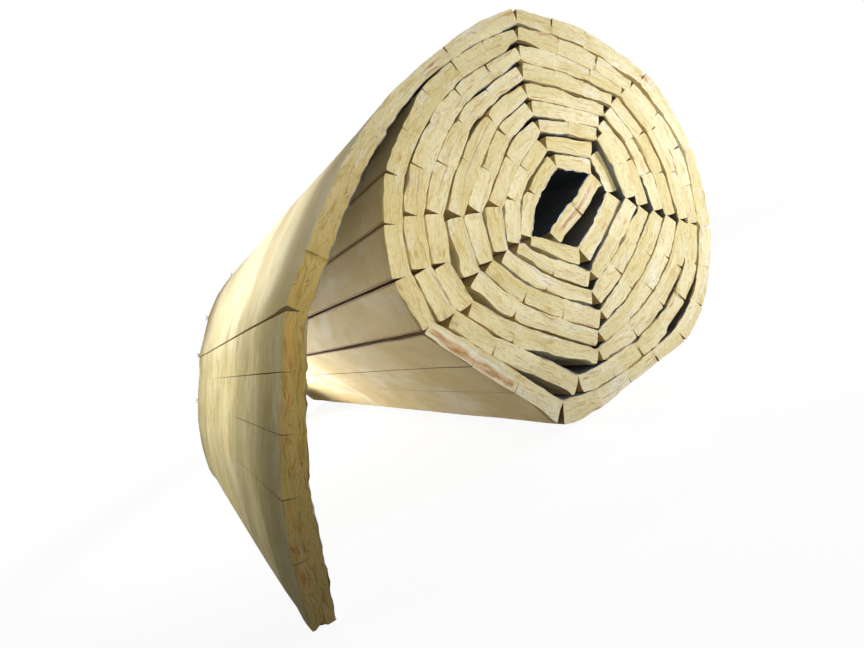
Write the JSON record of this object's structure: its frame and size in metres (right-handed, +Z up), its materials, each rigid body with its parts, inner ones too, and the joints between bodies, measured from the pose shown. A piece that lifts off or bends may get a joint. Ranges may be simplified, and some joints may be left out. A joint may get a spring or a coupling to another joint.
{
  "type": "insulation roll",
  "caption": "Loosely wound roll of slit mineral-wool mat with a metal facing on its inner side, its outer end hanging to the floor as a flap.",
  "frame": {"origin": "under the middle of the roll and flap together, on the floor", "axes": "+Y along the roll's axis, from the end that shows the turns to the far end; +X across it, away from the flap; +Z up"},
  "size_m": [0.6504, 1, 0.4207],
  "materials": {
    "wool": "fibrous, straw-coloured",
    "foil": "creased foil"
  },
  "bodies": {
    "root": {"wool_mat": "wool", "foil_facing": "foil"}
  },
  "joints": []
}
